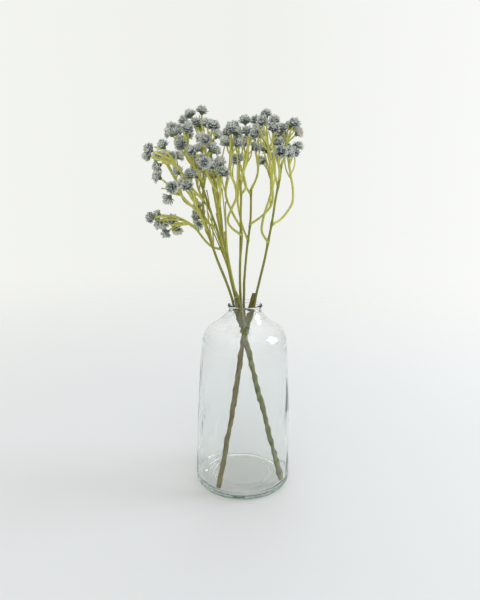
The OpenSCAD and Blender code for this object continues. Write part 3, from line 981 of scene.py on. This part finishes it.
def heart(part, foot, face, spin, beige):
    """The dark solid middle that the petals are fixed to."""
    other = face.cross(spin)
    sides, steps = 12, 5
    points = []
    for i in range(steps + 1):
        rise = i / steps * 0.94 * math.pi / 2
        middle = foot + face * (0.4 + 2.6 * math.sin(rise))
        r = 1.75 * math.cos(rise)
        for k in range(sides):
            angle = TURN * k / sides
            points.append(middle + r * (math.cos(angle) * spin + math.sin(angle) * other))
    part.add(points, capped_faces(steps + 1, sides), [(0.0, 0.3, beige)] * len(points))


def bloom(part, at, face, darker, beige):
    """One fabric bloom: rows of petals round its heart."""
    foot = at - face * (BLOOM_H / 2)
    spin = turned(face, rng.uniform(0, TURN))
    base = rng.uniform(0.4, 1.0) - darker
    size = rng.uniform(0.98, 1.14)
    for level, (count, r0, h0, slope_a, slope_b, length, width) in enumerate(PETAL_ROWS):
        start = rng.uniform(0, TURN)
        for i in range(count):
            angle = start + TURN * (i + rng.uniform(-0.25, 0.25)) / count
            out = Matrix.Rotation(angle, 3, face) @ spin
            shade = min(1.0, max(0.0, base + 0.2 - 0.1 * level + rng.uniform(-0.3, 0.3)))
            row = (r0, h0 + rng.uniform(-0.2, 0.2), slope_a, slope_b, length * size, width * size)
            petal(part, foot, face, out, row, shade, beige)
    heart(part, foot, face, spin, beige)


def blooms(name, fabric):
    """All blooms of one stalk."""
    part = Part()
    darker = RIGHT_DARKER if name.startswith("right") else 0.0
    for row in TWIGS[name]:
        placed = blooms_of(row)
        rightmost = max(placed, key=lambda one: one[0].x)[0]
        for at, face in placed:
            beige = 1.0 if row[1][0] == BEIGE_RING and at == rightmost else 0.0
            bloom(part, at, face, darker, beige)
    part.make(name + "_petals", fabric, body_of(name), "petal_fabric", name + "_blooms")


# ---- Room ----

def floor():
    """A pale round floor, with painted shade that darkens it near the vase, which fades into the background
    some way from the vase.
    """
    s = Shading("floor_paper")
    grain = s.noise(900, 3)
    clouds = s.noise(6, 3)
    away = s.node("VectorMath", {0: s.place()}, operation="LENGTH").outputs["Value"]
    colour = s.mix(clouds, (0.81, 0.82, 0.835), (0.83, 0.84, 0.85))
    # Painted shade: the floor is mixed towards a darker grey near the vase, standing in for the shade that
    # the vase casts round its foot.
    colour = s.mix(s.spread(away, 0.08, 0.4, 0.35, 0.0), colour, (0.78, 0.785, 0.79))
    paper = s.principled(colour, 0.8, Normal=s.bump(grain, 0.0002, 0.2), Specular_IOR_Level=0.2)
    fade = s.spread(away, 0.15, 0.95, interpolation_type="SMOOTHSTEP")
    s.done(s.mix_shaders(fade, paper, s.node("BsdfTransparent")))
    mesh = bpy.data.meshes.new("floor")
    radius, sides = 1.8, 96
    angles = [TURN * k / sides for k in range(sides)]
    edge = [(radius * math.cos(angle), radius * math.sin(angle), 0.0) for angle in angles]
    mesh.from_pydata(edge, [], [list(range(sides))])
    mesh.materials.append(s.material)
    piece = bpy.data.objects.new("floor", mesh)
    piece.location.z = -0.00005
    bpy.context.scene.collection.objects.link(piece)


def world():
    """Even white in front of the camera. What lights the scene is darker on the far left and right,
    as in a room with windows behind and before the table, and this is what draws the edges of the glass.
    Straight through the glass the background stays pale from every side."""
    made = bpy.data.worlds.new("studio")
    made.use_nodes = True
    w = Nodes(made.node_tree)
    side, _, height = w.parts_of(w.node("TexCoord").outputs["Generated"])
    strength = w.spread(height, 0.15, 1.0, 1.0, 1.5)
    lit = w.ramp(w.spread(side, -1, 1), [(0.0, (0.03, 0.035, 0.033)), (0.2, (0.3, 0.31, 0.3)),
                                         (0.5, (1.12, 1.11, 1.09)), (0.8, (0.36, 0.375, 0.37)),
                                         (1.0, (0.06, 0.07, 0.07))])
    seen = w.ramp(w.spread(side, -0.42, 0.42), [(0.0, (0.9, 0.91, 0.87)), (0.5, (0.868, 0.878, 0.84)),
                                                (1.0, (0.96, 0.97, 0.955))])
    rays = w.node("LightPath").outputs
    upper = w.spread(height, -0.32, -0.2, 0.0, 0.92)
    through = w.maths("MULTIPLY", upper, rays["Is Transmission Ray"])
    lit = w.mix(through, lit, (0.9, 0.9, 0.88))
    lights = w.node("Background", {"Color": lit, "Strength": strength})
    backdrop = w.node("Background", {"Color": seen})
    shown = w.mix_shaders(rays["Is Camera Ray"], lights, backdrop)
    w.tree.links.new(shown.outputs[0], w.node("OutputWorld").inputs["Surface"])
    bpy.context.scene.world = made


def lamp(name, at, aim, size, power, colour):
    """A soft rectangular lamp."""
    data = bpy.data.lights.new(name, "AREA")
    data.shape = "RECTANGLE"
    data.size, data.size_y = size
    data.energy = power
    data.color = colour
    made = bpy.data.objects.new(name, data)
    made.location = at
    made.rotation_euler = (Vector(aim) - Vector(at)).to_track_quat("-Z", "Y").to_euler()
    bpy.context.scene.collection.objects.link(made)


def camera():
    """Looks at the vase from the front and from above, as in the photo."""
    data = bpy.data.cameras.new("camera")
    data.lens = 36
    data.sensor_width = 36
    made = bpy.data.objects.new("camera", data)
    pitch, roll = math.radians(16.4), math.radians(0.75)
    turn = Matrix.Rotation(math.pi / 2 - pitch, 4, "X") @ Matrix.Rotation(roll, 4, "Z")
    made.matrix_world = Matrix.Translation((-0.0047, -0.529, 0.339)) @ turn
    bpy.context.scene.collection.objects.link(made)
    bpy.context.scene.camera = made


# ---- The scene ----

vase()

steel = steel_wire()
tape = stem_tape()
covers = {
    "left": stem_cover("stem_cover_green", (0.045, 0.065, 0.013), (0.16, 0.18, 0.032), (0.32, 0.33, 0.085)),
    "right": stem_cover("stem_cover_brown", (0.055, 0.047, 0.012), (0.19, 0.15, 0.03), (0.31, 0.255, 0.065)),
}
stalk_green = green_plastic("stalk_green", (0.19, 0.195, 0.04), (0.44, 0.43, 0.06), (0.62, 0.6, 0.1))
twig_green = green_plastic("twig_green", (0.37, 0.37, 0.07), (0.69, 0.68, 0.14), (0.95, 0.93, 0.27))
cup_dark = cup_plastic()
petal_cloth = petal_fabric()

for spray in STEMS:
    stem(spray, covers[spray])
    wire(spray, steel)
    binding(spray, tape)
for name in STALKS:
    stalk(name, stalk_green)
    twigs(name, twig_green)
    cups(name, cup_dark)
    blooms(name, petal_cloth)

floor()
world()
lamp("window", at=(2.04, 0.24, 1.35), aim=(0, 0, 0.15), size=(1.0, 1.15), power=24,
     colour=(0.9, 0.97, 1.0))
# Light is reflected many times inside the lip and the base. Fewer bounces would turn them black.
for limit in ("max_bounces", "transmission_bounces", "glossy_bounces"):
    setattr(bpy.context.scene.cycles, limit, 32)
camera()
bpy.context.scene.view_settings.view_transform = "Standard"
